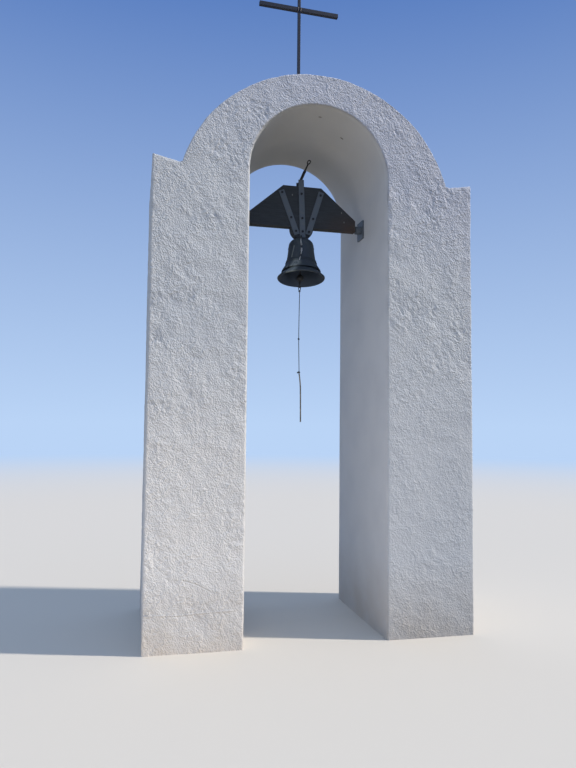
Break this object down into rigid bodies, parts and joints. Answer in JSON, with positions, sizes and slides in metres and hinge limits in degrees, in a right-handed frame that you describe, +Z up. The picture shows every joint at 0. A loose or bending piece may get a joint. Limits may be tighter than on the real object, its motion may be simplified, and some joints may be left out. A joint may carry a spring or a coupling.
{
  "type": "bell arch",
  "caption": "Free-standing whitewashed masonry arch with a swinging bell under a timber headstock, a pull rope and an iron cross on its crown.",
  "frame": {"origin": "middle of the base, at the level the piers stand on", "axes": "+Z up, +X to the right across the opening, front towards -Y"},
  "size_m": [2.4, 1.17, 5.282],
  "materials": {
    "plaster": "white limewash over hand-thrown roughcast plaster",
    "black_iron": "dark paint over wrought iron, slightly rusted",
    "grey_iron": "grey painted steel flat bar",
    "bare_steel": "worn zinc-plated steel",
    "stained_timber": "dark stained weathered hardwood",
    "bell_metal": "cast bell with dark green-black patina",
    "dark_rope": "weathered laid cord",
    "pale_rope": "weathered laid rope"
  },
  "bodies": {
    "masonry": {"left_pier": "plaster", "right_pier": "plaster", "arch": "plaster", "cross_upright": "black_iron", "cross_left_arm": "black_iron", "cross_right_arm": "black_iron", "left_wall_plate": "grey_iron", "right_wall_plate": "grey_iron", "left_bearing": "grey_iron", "right_bearing": "grey_iron"},
    "bell_assembly": {"left_gudgeon": "bare_steel", "right_gudgeon": "bare_steel", "headstock": "stained_timber", "yoke_block": "stained_timber", "left_front_strap": "grey_iron", "centre_front_strap": "grey_iron", "right_front_strap": "grey_iron", "left_rear_strap": "grey_iron", "centre_rear_strap": "grey_iron", "right_rear_strap": "grey_iron", "left_strap_bolts": "grey_iron", "centre_strap_bolts": "grey_iron", "right_strap_bolts": "grey_iron", "bell_lever": "black_iron", "bell": "bell_metal", "crown_bolt": "black_iron", "bell_chain": "bare_steel", "chain_staple": "grey_iron"},
    "clapper_body": {"clapper": "black_iron"},
    "rope": {"rope_loop": "dark_rope", "rope_upper": "dark_rope", "rope_upper_knot": "dark_rope", "rope_middle": "dark_rope", "rope_lower_knot": "dark_rope", "rope_grip": "pale_rope"}
  },
  "joints": [
    {"name": "bell_swing", "type": "hinge", "parent": "masonry", "child": "bell_assembly", "pos_m": [0, 0, 3.132], "axis": [1, 0, 0], "range_deg": [-45, 45]},
    {"name": "clapper_swing", "type": "hinge", "parent": "bell_assembly", "child": "clapper_body", "pos_m": [0.00101, -0.01052, 2.9488], "axis": [0.9996, 0, -0.0279], "range_deg": [-33.2, 16.4]},
    {"name": "rope_hang", "type": "hinge", "parent": "clapper_body", "child": "rope", "pos_m": [-0.00781, -0.01052, 2.63292], "axis": [0.9996, 0, -0.0279], "range_deg": [-46, 46]}
  ],
  "couplings": [
    {"joint": "rope_hang", "follows": "bell_swing", "ratio": -1}
  ]
}
